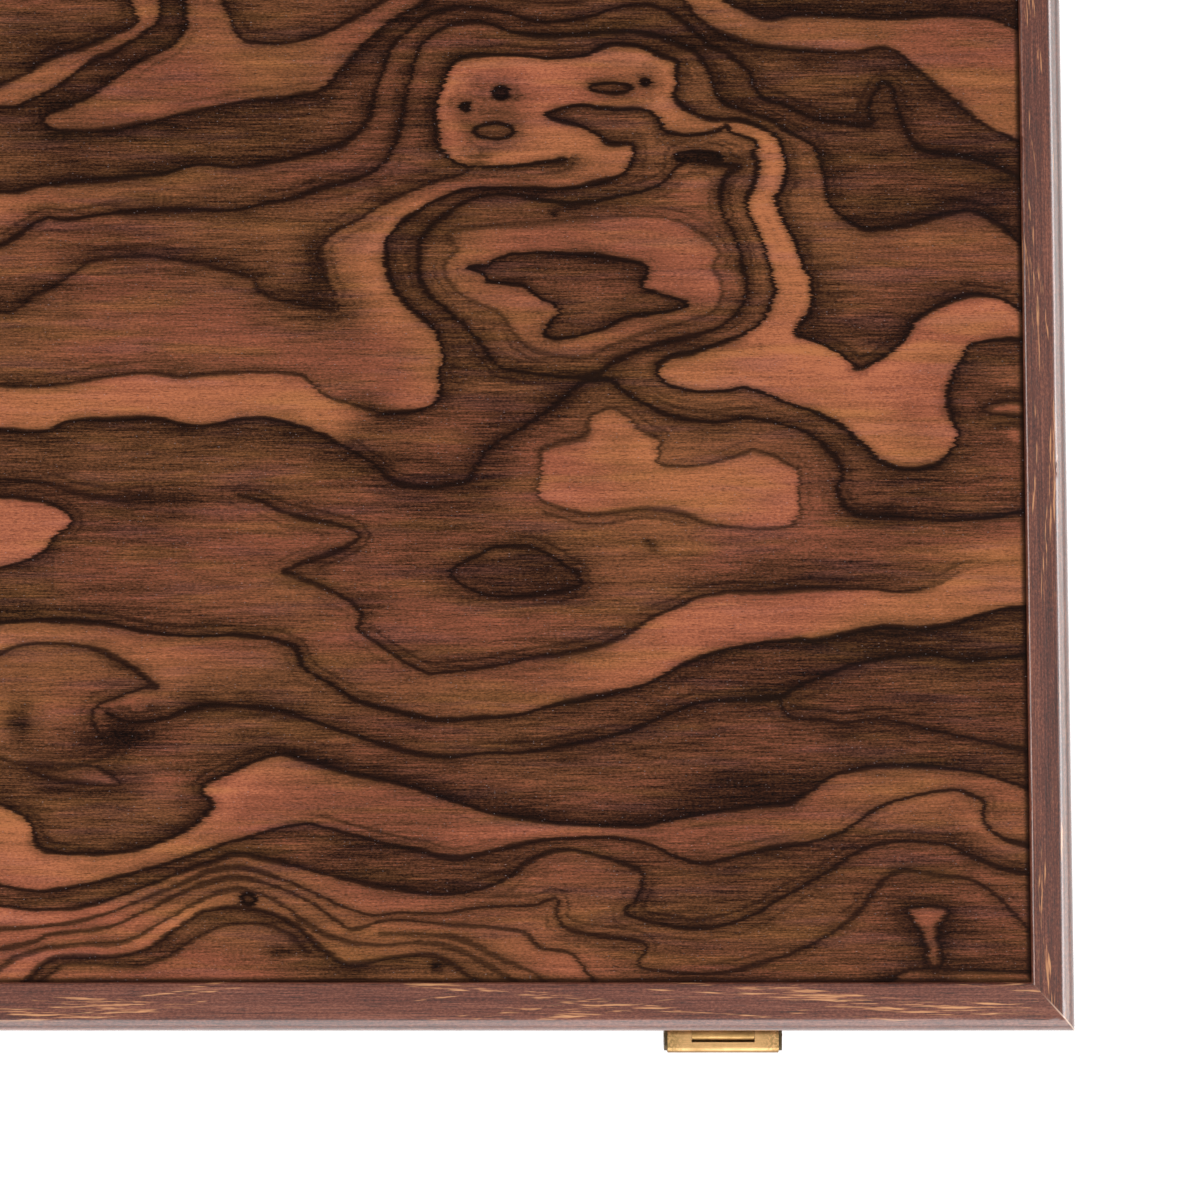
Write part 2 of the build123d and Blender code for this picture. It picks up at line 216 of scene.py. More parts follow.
def new_piece(name, points, faces, material):
    """Make a mesh object in the row frame."""
    mesh = bpy.data.meshes.new(name)
    mesh.from_pydata([tuple(point) for point in points], [], faces)
    mesh.materials.append(material)
    piece = bpy.data.objects.new(name, mesh)
    scene.collection.objects.link(piece)
    return piece


# Light and floor
world = bpy.data.worlds.new("world")
scene.world = world
world.use_nodes = True
sky = Nodes(world.node_tree)
ray = sky.add("ShaderNodeLightPath").outputs
seen = sky.plus(ray["Is Camera Ray"], ray["Is Transmission Ray"], clamp=True)
direction = sky.add("ShaderNodeTexCoord").outputs["Generated"]
axes = sky.add("ShaderNodeSeparateXYZ", Vector=direction).outputs
# Gloss mirrors a sky that is dim overhead, near the horizon and behind, and bright on
# the right: for each axis, where a change starts and ends, and the levels there
mirrored = 1.0
for axis, start, end, low, high in (
        ("Z", 0.78, 0.86, 1.15, 0.3), ("Z", 0.05, 0.4, 0.35, 1.0),
        ("Y", 0.15, 0.5, 1.0, 0.3), ("X", 0.1, 0.6, 1.0, 5.0)):
    mirrored = sky.times(mirrored, sky.ramp(axes[axis], start, end, low, high))
dome_level = sky.blend(ray["Is Glossy Ray"], 0.75, mirrored)
dome = sky.add("ShaderNodeBackground", Color=(0.97, 0.98, 0.96), Strength=dome_level)
white = sky.add("ShaderNodeBackground", Color=(1.0, 1.0, 1.0), Strength=1.0)
sky_mix = sky.add("ShaderNodeMixShader", Fac=seen, s1=dome.outputs[0], s2=white.outputs[0])
sky.add("ShaderNodeOutputWorld", Surface=sky_mix.outputs[0])


def lamp(name, place, target, width, height, power, colour):
    """Add a rectangular area light that points at a target."""
    data = bpy.data.lights.new(name, "AREA")
    data.shape = "RECTANGLE"
    data.size = width
    data.size_y = height
    data.energy = power
    data.color = colour
    found = bpy.data.objects.new(name, data)
    found.location = place
    aim = Vector(target) - Vector(place)
    found.rotation_euler = aim.to_track_quat("-Z", "Y").to_euler()
    scene.collection.objects.link(found)


lamp("left_light", (-1.4, 0.1, 1.4), (0.1, 0, 0), 0.9, 0.9, 12, (1.0, 0.98, 0.96))
lamp("front_light", (0.2, -1.6, 0.85), (0.1, 0, 0), 1.6, 1.6, 18, (0.98, 0.99, 1.0))
lamp("right_light", (1.18, 0.0, 1.62), (0.2, 0, 0), 1.6, 0.3, 14, (0.98, 0.98, 1.0))

floor_material, nodes = new_material("floor")
nodes.finish(Base_Color=(0.95, 0.95, 0.95), Roughness=1.0, Specular_IOR_Level=0.0,
             Emission_Color=(1.0, 1.0, 1.0), Emission_Strength=0.3)
floor_half, floor_height = 4, -0.0002
floor_signs = ((-1, -1), (1, -1), (1, 1), (-1, 1))
floor_corners = [(x * floor_half, y * floor_half, floor_height) for x, y in floor_signs]
floor = new_piece("floor", floor_corners, [(0, 1, 2, 3)], floor_material)


# Figure of the veneer
#
# Each line of the figure carries a tone on either side, from 0, near black, to 1,
# pale copper, and a darkness that fades beside it. A fine mesh follows the lines.
# Lengths here are pixels of the picture.
line_step = 3.0
line_reach = 40.0
distance_cap = 16.0
beside_offsets = (-9.0, -5.0, -2.0, 0.0, 2.0, 5.0, 9.0)
open_grid = 11.0
dark_fade = 19.0
dark_power = 1.3
dark_depth = 0.85
crowd_share = 0.35
lowest_tone = 0.02
weight_start, weight_power = 4, 3
near_share, near_fade = 0.22, 0.2
# The sheet's reach in the picture, and the part within which a line may end
sheet_left, sheet_right, sheet_top, sheet_foot = -20, 1050, -60, 1010
shown_left, shown_right, shown_top, shown_foot = 6, 995, 6, 972
veins = {}


def unit(vectors):
    """Scale vectors to a length of 1."""
    return vectors / np.maximum(np.linalg.norm(vectors, axis=-1, keepdims=True), tiny)


def along(value, place):
    """Give a number, or one that changes along the picture's width."""
    if isinstance(value, (int, float)):
        return np.full(len(place), float(value))
    return np.interp(place, [stop[0] for stop in value], [stop[1] for stop in value])


def smooth_line(points, closed):
    """Run a smooth curve through the points and sample it evenly."""
    points = np.array(points, float)
    if closed:
        points = np.vstack([points[-1], points, points[0], points[1]])
    else:
        first = 2 * points[0] - points[1]
        last = 2 * points[-1] - points[-2]
        points = np.vstack([first, points, last])
    samples = []
    for before, start, end, after in zip(points, points[1:], points[2:], points[3:]):
        length = np.linalg.norm(end - start)
        length_before = np.linalg.norm(start - before)
        length_after = np.linalg.norm(after - end)
        count = max(1, int(round(length / line_step)))
        share = (np.arange(count) / count)[:, None]
        # Tangents scaled by the neighbours' spacing keep uneven points from looping
        into = (end - before) * length / max(length + length_before, tiny)
        out = (after - start) * length / max(length + length_after, tiny)
        cube, square = share ** 3, share ** 2
        samples.append((2 * cube - 3 * square + 1) * start + (cube - 2 * square + share) * into
                       + (3 * square - 2 * cube) * end + (cube - square) * out)
    if not closed:
        samples.append(points[-2:-1])
    return np.vstack(samples)


def vein(name, left, right, left_dark, right_dark, strength, points, closed=False):
    """Add one line of the figure; its left is above it where it runs to the right."""
    run = smooth_line(points, closed)
    if not closed:
        for end, inner in ((0, 4), (-1, -5)):
            u, v = run[end]
            # A line that leaves the sheet runs on straight
            if not (shown_left <= u <= shown_right and shown_top <= v <= shown_foot):
                heading = unit(run[end] - run[inner])
                steps = np.arange(1, int(line_reach / line_step))[:, None] * line_step
                tail = run[end] + heading * steps
                run = np.vstack([tail[::-1], run]) if end == 0 else np.vstack([run, tail])
    veins[name] = dict(run=run, closed=closed, left=left, right=right, left_dark=left_dark,
                       right_dark=right_dark, strength=strength)


# The lines by name: tone left of the line's run and right of it, darkness beside it left
# and right, and how dark the line itself is. A list in place of a number gives picture
# x and a value, for one that changes along the line.
vein("upper_left_lobe", 0.42, 0.78, 0.5, 0.1, 0.8, [
    (0, 86), (16, 78), (29, 72), (48, 60), (88, 46), (129, 28), (138, 21), (134, 11), (131, 0)])
vein("upper_left_band", 0.78, 0.42, 0.1, 0.4, 0.9, [
    (0, 107), (16, 106), (54, 88), (94, 60), (113, 52), (150, 29), (159, 20), (161, 0)])
vein("upper_tongue", 0.64, 0.42, 0.05, 0.75, 0.8, [
    (185, 0), (186, 16), (185, 29), (174, 44), (139, 62), (102, 88), (86, 99), (48, 115), (44, 122),
    (54, 129), (102, 130), (150, 122), (193, 111), (254, 100), (281, 98), (300, 94), (319, 91), (343, 67),
    (367, 40), (402, 13), (420, 5), (430, -4)])
vein("upper_blob", 0.5, 0.66, 0.5, 0.1, 0.8, [
    (220, 0), (228, 11), (238, 35), (252, 42), (292, 42), (329, 31), (364, 13), (386, 0)])
vein("corner_band_top", 0.3, 0.74, 0.6, 0.05, 0.8, [
    (718, -4), (738, 8), (765, 19), (800, 15), (845, 17), (890, 19), (945, 16), (990, 19), (1025, 33)])
vein("corner_band_foot", 0.74, 0.36, 0.05, 0.45, 0.8, [
    (680, -4), (702, 20), (725, 35), (760, 45), (810, 50), (850, 52), (890, 49), (940, 88), (985, 125),
    (1025, 143)])
vein("upper_dip", 0.5, 0.65, 0.3, 0.1, 0.5, [
    (495, -3), (525, 2), (550, 4), (574, 2), (597, -3)])
vein("long_outer", [(0, 0.42), (600, 0.5), (760, 0.4), (1000, 0.4)],
    [(0, 0.95), (60, 0.78), (250, 0.65), (700, 0.5), (800, 0.36)], [(0, 0.6), (450, 0.45), (800, 0.5)], 0.3,
    0.9, [
    (0, 192), (16, 192), (29, 188), (70, 182), (115, 179), (161, 174), (198, 165), (236, 167), (279, 161),
    (338, 146), (351, 138), (362, 129), (370, 113), (378, 83), (383, 72), (391, 48), (413, 27), (426, 17),
    (460, 7), (506, 13), (525, 19), (545, 22), (584, 18), (617, 8), (651, 5), (680, 19), (711, 46),
    (724, 52), (748, 72), (756, 91), (767, 100), (782, 104), (808, 116), (841, 123), (871, 123), (869, 108),
    (878, 87), (884, 82), (891, 87), (897, 108), (912, 141), (923, 150), (956, 155), (991, 164),
    (1021, 178)])
vein("long_inner", [(0, 0.66), (300, 0.6), (400, 0.5), (800, 0.32)],
    [(0, 0.6), (400, 0.52), (840, 0.62)], 0.55, 0.2, 0.9, [
    (0, 245), (11, 240), (46, 218), (64, 220), (107, 214), (161, 210), (236, 210), (254, 206), (300, 196),
    (321, 188), (362, 177), (388, 158), (401, 126), (408, 87), (416, 58), (422, 44), (445, 27), (477, 22),
    (494, 25), (511, 32), (550, 36), (622, 32), (651, 35), (693, 51), (702, 61), (710, 75), (719, 99),
    (744, 111), (772, 121), (785, 130), (808, 143), (817, 152), (824, 178), (826, 195), (832, 208),
    (854, 225), (869, 230), (902, 226), (967, 211), (999, 225), (1021, 245)])
vein("first_island", [(450, 0.5), (700, 0.58), (800, 0.5), (1000, 0.58)], 0.97,
    [(450, 0.65), (700, 0.5), (900, 0.55)], 0.05, 1.0, [
    (437, 138), (436, 111), (444, 82), (458, 60), (506, 55), (550, 58), (586, 55), (608, 45), (637, 46),
    (659, 55), (677, 63), (676, 73), (677, 85), (674, 95), (685, 109), (710, 119), (743, 121), (772, 134),
    (780, 141), (786, 165), (785, 180), (777, 202), (794, 241), (804, 267), (811, 280), (811, 309),
    (795, 333), (817, 342), (841, 354), (860, 368), (895, 348), (906, 337), (917, 320), (943, 304),
    (971, 295), (1001, 299), (1021, 310)])
vein("first_island_foot", 0.92, 0.58, 0.05, 0.45, 1.0, [
    (436, 120), (437, 138), (441, 150), (462, 165), (508, 166), (528, 164), (564, 159)])
vein("brown_lobe", 0.66, 0.56, 0.05, 0.5, 0.7, [
    (477, 168), (453, 177), (428, 184), (380, 206), (364, 217), (335, 232), (325, 241), (321, 252),
    (328, 281), (335, 292)])
vein("ring_outer", [(380, 0.95), (860, 0.95), (910, 0.82)],
    [(380, 0.46), (440, 0.56), (640, 0.58), (700, 0.88), (800, 0.78), (900, 0.42)], 0.1, 0.5, 1.0, [
    (380, 413), (411, 411), (428, 407), (438, 397), (441, 387), (439, 373), (443, 358), (436, 332),
    (404, 302), (394, 289), (387, 268), (386, 249), (391, 233), (414, 213), (453, 193), (472, 188),
    (511, 188), (569, 188), (613, 178), (625, 172), (634, 153), (632, 145), (608, 143), (598, 135),
    (586, 128), (547, 115), (579, 105), (613, 109), (642, 109), (659, 119), (662, 128), (671, 133),
    (690, 135), (717, 131), (727, 126), (731, 132), (752, 139), (758, 145), (753, 154), (757, 160),
    (754, 184), (746, 204), (757, 230), (764, 245), (772, 278), (774, 293), (761, 322), (729, 340),
    (693, 352), (671, 357), (656, 370), (668, 384), (695, 391), (727, 391), (747, 388), (787, 403),
    (815, 412), (841, 426), (863, 444), (882, 462), (908, 469), (936, 464), (954, 447), (958, 434),
    (950, 413), (949, 387), (958, 365), (965, 356), (967, 347), (975, 343), (1008, 339), (1022, 340)])
vein("edge_spear", 0.42, 0.85, 0.35, 0.0, 0.7, [
    (984, 409), (996, 404), (1026, 403), (1026, 414), (1010, 414), (996, 413)], closed=True)
vein("left_band_top", [(0, 0.92), (330, 0.9), (380, 0.55)], [(0, 0.6), (300, 0.64), (380, 0.5)], 0.1,
    [(0, 0.5), (300, 0.15), (380, 0.3)], 0.7, [
    (380, 413), (348, 403), (332, 399), (319, 391), (308, 380), (295, 374), (257, 372), (200, 375),
    (180, 377), (150, 373), (110, 377), (48, 386), (0, 386)])
vein("left_band_foot",
    [(0, 0.95), (330, 0.92), (350, 0.42), (560, 0.4), (640, 0.6), (800, 0.55), (900, 0.44)],
    [(0, 0.45), (560, 0.42), (640, 0.58), (820, 0.6), (900, 0.6)], [(0, 0.1), (340, 0.2), (380, 0.5)], 0.5,
    0.9, [
    (0, 429), (43, 431), (70, 421), (113, 419), (153, 418), (188, 425), (209, 425), (246, 418), (268, 418),
    (313, 431), (346, 447), (372, 463), (396, 482), (428, 487), (462, 482), (472, 474), (487, 450),
    (525, 426), (552, 407), (576, 387), (590, 380), (610, 380), (622, 390), (666, 414), (714, 422),
    (748, 418), (795, 428), (821, 443), (841, 467), (841, 478), (837, 486), (839, 497), (847, 508),
    (860, 515), (899, 517), (943, 520), (986, 518), (1021, 512)])
vein("ring_inner", 0.5, 0.6, 0.4, 0.4, 0.9, [
    (419, 269), (419, 252), (421, 240), (441, 218), (472, 199), (506, 194), (555, 202), (574, 204),
    (642, 191), (664, 182), (678, 166), (693, 162), (739, 167), (731, 172), (724, 179), (721, 206),
    (739, 247), (741, 262), (746, 279), (746, 298), (729, 320), (712, 330), (647, 347), (613, 362),
    (598, 373), (574, 377), (506, 369), (494, 361), (475, 336), (431, 296), (422, 284)], closed=True)
vein("ring_thin", 0.6, 0.72, 0.15, 0.05, 0.5, [
    (450, 233), (484, 227), (523, 224), (562, 221), (605, 218), (644, 216), (681, 222), (712, 242),
    (719, 254), (712, 267), (719, 279), (722, 296), (712, 312), (654, 330), (603, 348), (588, 356),
    (540, 352), (516, 336), (508, 322), (499, 312), (467, 298), (455, 288), (444, 269), (448, 259),
    (458, 250), (453, 242)], closed=True)
vein("ring_core", 0.7, 0.45, 0.1, 0.45, 1.0, [
    (467, 267), (487, 265), (496, 259), (513, 254), (555, 253), (598, 256), (647, 267), (642, 286),
    (659, 293), (688, 305), (659, 313), (625, 318), (608, 327), (559, 339), (545, 334), (550, 322),
    (559, 313), (555, 305), (540, 298), (523, 286), (487, 281), (484, 274)], closed=True)
vein("left_dome", 0.5, 0.52, 0.65, 0.2, 0.6, [
    (0, 312), (13, 311), (35, 296), (54, 287), (88, 264), (107, 259), (150, 257), (193, 263), (252, 279),
    (257, 289), (268, 297), (289, 303), (332, 311)])
vein("second_island", 0.62, 0.86, 0.15, 0.05, 0.6, [
    (541, 451), (554, 445), (586, 436), (588, 424), (593, 415), (615, 409), (644, 432), (660, 441),
    (657, 460), (661, 466), (702, 465), (744, 454), (754, 450), (798, 471), (799, 491), (800, 512),
    (785, 527), (712, 524), (683, 513), (647, 508), (593, 514), (557, 506), (538, 494),
    (541, 470)], closed=True)
vein("dark_eye", 0.48, 0.35, 0.35, 0.3, 0.9, [
    (450, 573), (484, 552), (496, 547), (535, 548), (571, 569), (580, 576), (579, 586), (525, 596),
    (484, 594)], closed=True)
vein("left_lens", 0.5, 0.95, 0.4, 0.05, 0.9, [
    (0, 497), (19, 498), (56, 506), (72, 521), (54, 538), (43, 552), (27, 560), (0, 568)])
vein("smear_line", 0.45, 0.45, 0.2, 0.3, 0.6, [
    (0, 479), (46, 483), (62, 488), (80, 493), (123, 500), (145, 496)])
vein("lower_band_top", [(240, 0.5), (600, 0.6), (800, 0.42), (930, 0.52), (1000, 0.74)],
    [(240, 0.55), (400, 0.57), (560, 0.7), (660, 0.85)], [(240, 0.35), (930, 0.35), (970, 0.0)], 0.05,
    [(240, 0.8), (900, 0.8), (950, 0.0)], [
    (241, 496), (257, 500), (289, 514), (348, 528), (359, 536), (340, 549), (284, 571), (297, 577),
    (335, 593), (354, 605), (361, 615), (359, 630), (378, 644), (426, 673), (448, 672), (489, 667),
    (525, 659), (569, 653), (608, 643), (637, 628), (651, 618), (683, 605), (697, 598), (731, 592),
    (765, 592), (808, 589), (865, 589), (906, 592), (939, 586), (960, 574), (990, 566), (1025, 560)])
vein("lower_band_foot", [(0, 0.38), (250, 0.55), (420, 0.62), (640, 0.85), (1000, 0.9)],
    [(0, 0.85), (150, 0.75), (280, 0.62), (330, 0.55), (600, 0.5), (800, 0.38)],
    [(0, 0.6), (300, 0.3), (640, 0.1)], [(0, 0.1), (500, 0.3), (700, 0.6)], 0.95, [
    (0, 623), (43, 620), (107, 624), (145, 632), (188, 636), (249, 636), (295, 647), (303, 667), (329, 683),
    (359, 701), (421, 717), (438, 720), (477, 718), (516, 715), (550, 706), (620, 691), (651, 682),
    (678, 667), (707, 655), (748, 645), (798, 639), (815, 640), (878, 627), (928, 628), (999, 610),
    (1025, 606)])
vein("left_ring", [(0, 0.88), (120, 0.7)], 0.68, 0.05, [(0, 0.15), (80, 0.3), (130, 0.55)], 0.8, [
    (0, 653), (27, 644), (88, 647), (131, 666), (150, 682), (158, 688), (145, 688), (113, 699), (98, 706),
    (92, 716), (98, 728), (112, 742)])
vein("left_sliver", 0.42, 0.7, 0.3, 0.05, 0.7, [
    (28, 767), (60, 769), (92, 766), (118, 784), (70, 781), (45, 775)], closed=True)
vein("left_ring_foot", [(0, 0.6), (80, 0.5)], 0.42, [(0, 0.1), (90, 0.4)], 0.2, 0.6, [
    (0, 757), (13, 762), (59, 765), (83, 764), (104, 758), (118, 745)])
vein("middle_wave", [(160, 0.5), (600, 0.55), (800, 0.38)],
    [(160, 0.55), (500, 0.56), (620, 0.46), (820, 0.4)], 0.5, 0.3, 0.9, [
    (108, 714), (130, 722), (161, 719), (204, 706), (241, 706), (281, 711), (316, 722), (354, 735),
    (411, 752), (448, 757), (487, 753), (525, 752), (598, 739), (630, 730), (685, 707), (702, 702),
    (769, 699), (780, 697), (804, 684), (865, 662), (930, 655), (965, 660), (1025, 655)])
vein("right_wave", 0.4, 0.46, 0.2, 0.4, 0.8, [
    (780, 701), (783, 710), (791, 717), (826, 720), (843, 723), (878, 719), (943, 732), (991, 743),
    (1025, 750)])
vein("front_wave_top", [(0, 0.5), (300, 0.45), (700, 0.34), (850, 0.44)],
    [(0, 0.95), (220, 0.95), (320, 0.7), (440, 0.62), (560, 0.82), (700, 0.54), (850, 0.7)],
    [(0, 0.5), (700, 0.8), (850, 0.4)], 0.1, 0.9, [
    (0, 804), (13, 810), (27, 819), (33, 830), (36, 843), (46, 851), (80, 854), (123, 852), (161, 842),
    (193, 826), (212, 806), (202, 788), (222, 776), (276, 755), (308, 761), (348, 773), (402, 784),
    (455, 802), (487, 812), (525, 819), (564, 824), (634, 826), (676, 819), (714, 812), (760, 806),
    (792, 802), (828, 779), (845, 772), (884, 766), (930, 767), (979, 773), (1027, 788)])
vein("front_wave_foot",
    [(0, 0.9), (220, 0.9), (320, 0.66), (440, 0.6), (560, 0.8), (700, 0.5), (850, 0.66)],
    [(0, 0.5), (640, 0.42), (840, 0.36), (890, 0.78)], 0.1, [(0, 0.5), (860, 0.1)], 0.9, [
    (0, 885), (35, 891), (72, 887), (113, 878), (153, 867), (188, 856), (236, 840), (303, 824), (343, 832),
    (380, 842), (419, 850), (453, 858), (487, 852), (538, 841), (574, 838), (613, 838), (649, 844),
    (678, 857), (705, 863), (739, 855), (778, 847), (814, 841), (845, 830), (884, 805), (950, 790),
    (974, 796), (984, 803), (984, 821), (1003, 838), (1030, 846)])
vein("front_crest", [(0, 0.5), (400, 0.44), (800, 0.5)],
    [(0, 0.95), (300, 0.74), (480, 0.6), (700, 0.5)], 0.4, 0.1, 0.85, [
    (0, 906), (40, 910), (83, 907), (139, 889), (196, 867), (214, 862), (230, 855), (246, 855), (281, 863),
    (321, 873), (362, 883), (433, 894), (472, 891), (504, 880), (525, 864), (550, 852), (579, 851),
    (637, 869), (643, 879), (637, 898), (625, 913), (685, 928), (719, 926), (753, 915), (785, 896),
    (821, 876), (875, 845), (945, 844), (971, 856), (1003, 869), (1030, 875)])
vein("front_second", [(0, 0.95), (300, 0.74), (500, 0.58), (700, 0.5)],
    [(0, 0.85), (240, 0.72), (480, 0.58), (700, 0.5)], 0.1, 0.15, 0.75, [
    (0, 929), (46, 926), (88, 919), (126, 906), (182, 883), (214, 870), (246, 868), (300, 886), (335, 903),
    (370, 915), (399, 913), (443, 913), (484, 907), (535, 905), (555, 898), (559, 905), (556, 915),
    (571, 930), (639, 941), (647, 947), (638, 965), (671, 972), (719, 973), (758, 964), (802, 949),
    (836, 930), (862, 908), (879, 885), (901, 871), (937, 875), (974, 881), (1000, 899), (1022, 922),
    (1030, 932)])
vein("front_third", [(0, 0.82), (300, 0.7)], [(0, 0.88), (400, 0.75), (460, 0.85)], 0.1, 0.15,
    0.75, [
    (0, 949), (32, 942), (48, 935), (107, 927), (145, 911), (198, 886), (233, 878), (271, 885), (308, 901),
    (335, 919), (351, 929), (388, 920), (443, 924), (487, 927), (523, 932), (540, 947), (571, 954),
    (586, 971), (592, 979)])
vein("front_strip_top", 0.72, [(0, 1.0), (220, 0.95), (300, 0.7)], 0.15, 0.0, 0.7, [
    (5, 966), (16, 958), (51, 948), (88, 944), (113, 944), (134, 938), (198, 902), (230, 890), (246, 890),
    (279, 903), (305, 923), (335, 938), (375, 945), (420, 942)])
vein("front_strip_foot", [(0, 1.0), (220, 0.95), (300, 0.7)], 0.42, 0.0, 0.2, 0.8, [
    (27, 980), (43, 964), (59, 957), (115, 956), (147, 948), (201, 913), (233, 907), (271, 913), (297, 926),
    (321, 948), (348, 964), (388, 958), (420, 954)])
vein("front_fourth", 0.42, [(51, 0.8), (200, 0.66), (308, 0.5)], 0.1, 0.05, 0.6, [
    (51, 974), (67, 964), (137, 966), (169, 956), (196, 938), (228, 925), (265, 925), (288, 934),
    (308, 953)])
vein("front_fifth", 0.7, 0.7, 0.1, 0.1, 0.6, [
    (380, 933), (448, 936), (475, 945), (499, 958), (530, 971), (540, 978)])
vein("front_sixth", 0.7, 0.66, 0.1, 0.1, 0.6, [
    (420, 943), (438, 944), (467, 954), (506, 976)])
vein("front_seventh", 0.6, 0.6, 0.1, 0.2, 0.7, [
    (420, 954), (443, 959), (472, 978)])
vein("front_mark", 0.35, 0.72, 0.5, 0.05, 0.8, [
    (908, 909), (947, 910), (938, 930), (940, 966), (929, 966), (924, 939), (918, 927)], closed=True)
vein("front_corner", 0.42, 0.75, 0.4, 0.05, 0.7, [
    (890, 984), (908, 971), (960, 971), (1025, 973)])


def knot(name, u, v, half_u, half_v, inside):
    """Add a small knot, an ellipse with a dark rim."""
    corners = 10
    turns = np.arange(corners) * 2 * math.pi / corners
    rim = [(u + half_u * math.cos(turn), v + half_v * math.sin(turn)) for turn in turns]
    vein(name, 0.8, inside, 0.25, 0.1, 1.0, rim, closed=True)


knot("island_knot_right", 501, 93, 8, 6, 0.1)
knot("island_knot_left", 465, 107, 5, 4, 0.08)
knot("island_ring", 494, 131, 20, 8, 0.5)
knot("island_slit", 611, 88, 21, 5, 0.45)
knot("slit_end", 645, 82, 5, 3, 0.05)
knot("band_knot", 698, 157, 24, 6, 0.2)
knot("front_knot", 248, 899, 7, 6, 0.06)

# Soft spots of tone: picture x and y, half width and half height, change of tone
soft_spots = [
    (478, 84, 6, 5, -0.3), (530, 97, 34, 3, -0.3), (554, 214, 4, 3, -0.6), (707, 157, 34, 12, -0.2),
    (315, 270, 16, 30, -0.35), (185, 498, 55, 11, -0.3), (649, 543, 5, 4, -0.5), (490, 480, 70, 12, -0.15),
    (755, 783, 48, 15, -0.3), (20, 722, 13, 18, -0.45), (140, 706, 30, 7, 0.34), (40, 682, 60, 5, -0.2),
    (118, 735, 42, 14, -0.5), (280, 952, 14, 5, -0.4), (240, 958, 30, 4, -0.25), (880, 310, 75, 40, -0.15),
    (820, 570, 120, 12, -0.12), (985, 545, 45, 12, 0.12), (718, 275, 14, 34, 0.1), (65, 265, 36, 14, 0.14),
    (620, 205, 10, 7, -0.1), (530, 300, 40, 8, 0.12), (436, 966, 7, 5, -0.6), (490, 620, 120, 14, 0.08),
    (240, 330, 80, 14, -0.08), (1014, 382, 12, 3, 0.45), (1016, 434, 8, 5, 0.45), (900, 640, 60, 12, -0.1),
    (395, 560, 60, 22, -0.05), (720, 640, 90, 8, -0.05), (765, 130, 50, 40, 0.16), (765, 215, 45, 45, 0.14),
    (440, 365, 45, 26, -0.2), (720, 440, 80, 24, 0.12), (570, 845, 75, 26, 0.14), (520, 682, 50, 20, -0.14),
    (440, 40, 60, 30, 0.12), (370, 845, 55, 36, -0.12), (960, 35, 90, 30, -0.12), (40, 35, 60, 30, -0.12),
    (50, 915, 100, 24, 0.14),
]


def nearest_on(line, places):
    """Give the signed distance to a line, right of it positive, and the place on it."""
    run = line["run"]
    tangent = np.gradient(run, axis=0)
    if line["closed"]:
        wrapped = np.vstack([run[-1], run, run[0]])
        tangent = (wrapped[2:] - wrapped[:-2]) / 2
    tangent = unit(tangent)
    signed = np.empty(len(places))
    index = np.empty(len(places), int)
    batch = 8000
    for start in range(0, len(places), batch):
        part = places[start:start + batch]
        gap = (part[:, None, 0] - run[None, :, 0]) ** 2 + (part[:, None, 1] - run[None, :, 1]) ** 2
        found = gap.argmin(1)
        offset = part - run[found]
        direction = tangent[found]
        across = direction[:, 0] * offset[:, 1] - direction[:, 1] * offset[:, 0]
        ahead = direction[:, 0] * offset[:, 0] + direction[:, 1] * offset[:, 1]
        inside = np.abs(ahead) < line_step
        distance = np.where(inside, np.abs(across), np.hypot(offset[:, 0], offset[:, 1]))
        signed[start:start + batch] = np.where(across < 0, -distance, distance)
        index[start:start + batch] = found
    return signed, index, tangent


